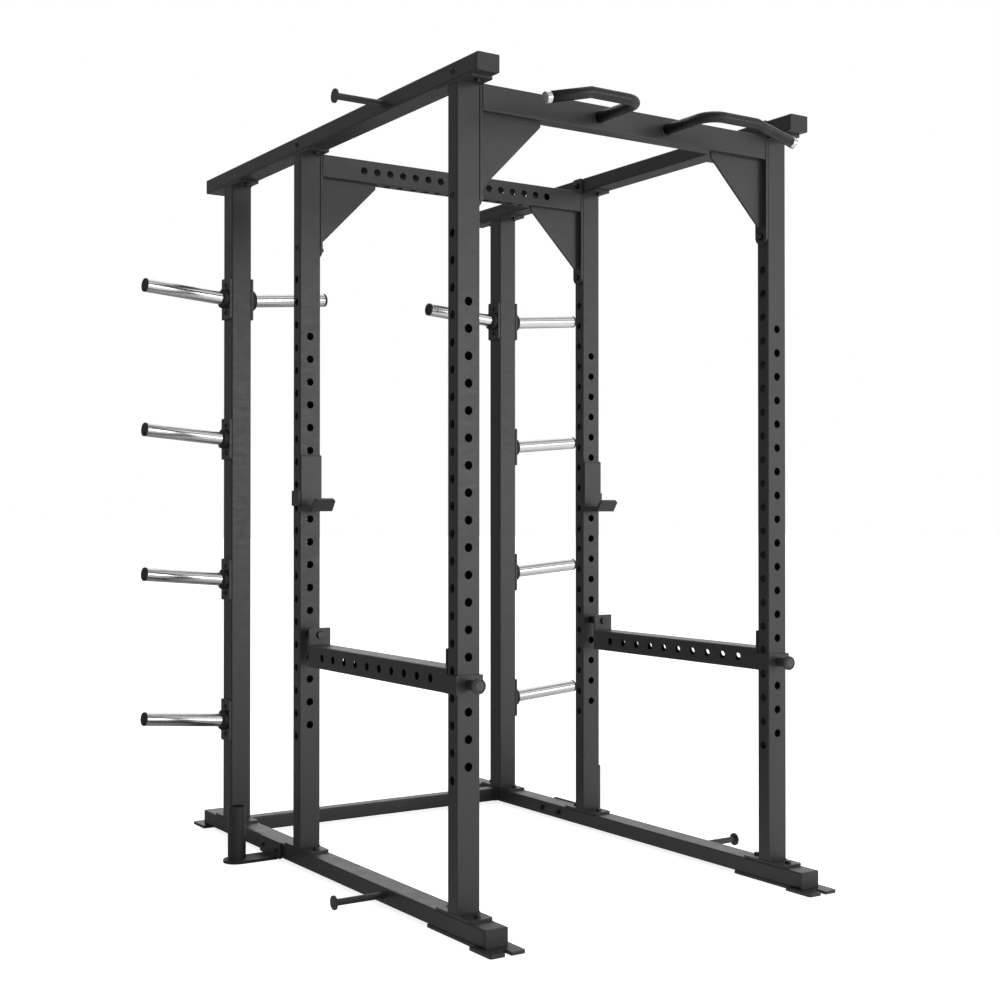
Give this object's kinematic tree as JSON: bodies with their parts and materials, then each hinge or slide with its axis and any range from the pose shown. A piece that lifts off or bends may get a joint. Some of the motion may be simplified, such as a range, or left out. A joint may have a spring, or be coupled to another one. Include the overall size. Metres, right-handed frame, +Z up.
{
  "type": "power cage",
  "caption": "Six-post steel power cage with pull-up handles, plate horns, J-cups, safety bars, band pegs and upright bar holders.",
  "frame": {"origin": "centre of the bounding box in plan, on the floor under the foot plates", "axes": "+X to the user's right across the cage, +Y from the front to the plate storage at the back, +Z up"},
  "size_m": [1.8584, 2.0634, 2.4],
  "materials": {
    "powder_coat": "satin",
    "chrome_plate": "polished",
    "rubber_stop": "matte",
    "grip_coat": "matte",
    "black_moulding": "matte",
    "bolt_steel": "satin",
    "spring_steel": "satin"
  },
  "bodies": {
    "frame": {"base_rail_left": "powder_coat", "base_rail_right": "powder_coat", "rear_crossmember": "powder_coat", "upright_front_left": "powder_coat", "upright_front_right": "powder_coat", "upright_middle_left": "powder_coat", "upright_middle_right": "powder_coat", "upright_rear_left": "powder_coat", "upright_rear_right": "powder_coat", "base_flange_plates": "powder_coat", "top_flange_plates": "powder_coat", "top_beam_left": "powder_coat", "top_beam_right": "powder_coat", "front_crossbeam": "powder_coat", "middle_crossbeam": "powder_coat", "crossbeam_end_plates": "powder_coat", "crossbeam_gussets": "powder_coat", "foot_plates": "powder_coat", "rail_end_caps": "black_moulding", "beam_end_caps": "black_moulding", "pullup_handle_left": "grip_coat", "pullup_handle_right": "grip_coat", "handle_end_caps": "chrome_plate", "horn_plates": "powder_coat", "horn_collars": "rubber_stop", "horn_sleeves": "chrome_plate", "horn_end_caps": "rubber_stop", "horn_bolts": "bolt_steel", "band_pegs": "powder_coat", "bar_holder_brackets": "powder_coat", "bar_holder_tube_left": "powder_coat", "bar_holder_tube_right": "powder_coat", "holder_bolts": "bolt_steel", "safety_bar_left": "powder_coat", "safety_collar_left": "powder_coat", "safety_bar_right": "powder_coat", "safety_collar_right": "powder_coat", "safety_rear_plates": "powder_coat", "safety_hook_pins": "bolt_steel", "pull_pin_barrel_left": "powder_coat", "pull_pin_spring_left": "spring_steel", "pull_pin_barrel_right": "powder_coat", "pull_pin_spring_right": "spring_steel", "flange_bolts": "bolt_steel", "crossbeam_bolts": "bolt_steel", "crossbeam_nuts": "bolt_steel"},
    "jcup_left": {"jcup_left": "powder_coat", "jcup_liner_left": "black_moulding", "jcup_pin_left": "bolt_steel"},
    "pull_pin_left": {"pull_pin_plunger_left": "bolt_steel", "pull_pin_knob_left": "black_moulding"},
    "jcup_right": {"jcup_right": "powder_coat", "jcup_liner_right": "black_moulding", "jcup_pin_right": "bolt_steel"},
    "pull_pin_right": {"pull_pin_plunger_right": "bolt_steel", "pull_pin_knob_right": "black_moulding"}
  },
  "joints": [
    {"name": "jcup_swing_left", "type": "hinge", "parent": "frame", "child": "jcup_left", "pos_m": [-0.575, 0.16275, 1.293], "axis": [0, 1, 0], "range_deg": [0, 90]},
    {"name": "pull_pin_pull_left", "type": "slide", "parent": "frame", "child": "pull_pin_left", "axis": [0, -1, 0], "range_m": [0, 0.018], "stiffness_N_per_m": 1500, "deforming": ["pull_pin_spring_left"]},
    {"name": "jcup_swing_right", "type": "hinge", "parent": "frame", "child": "jcup_right", "pos_m": [0.575, 0.16275, 1.293], "axis": [0, -1, 0], "range_deg": [0, 90]},
    {"name": "pull_pin_pull_right", "type": "slide", "parent": "frame", "child": "pull_pin_right", "axis": [0, -1, 0], "range_m": [0, 0.018], "stiffness_N_per_m": 1500, "deforming": ["pull_pin_spring_right"]}
  ]
}
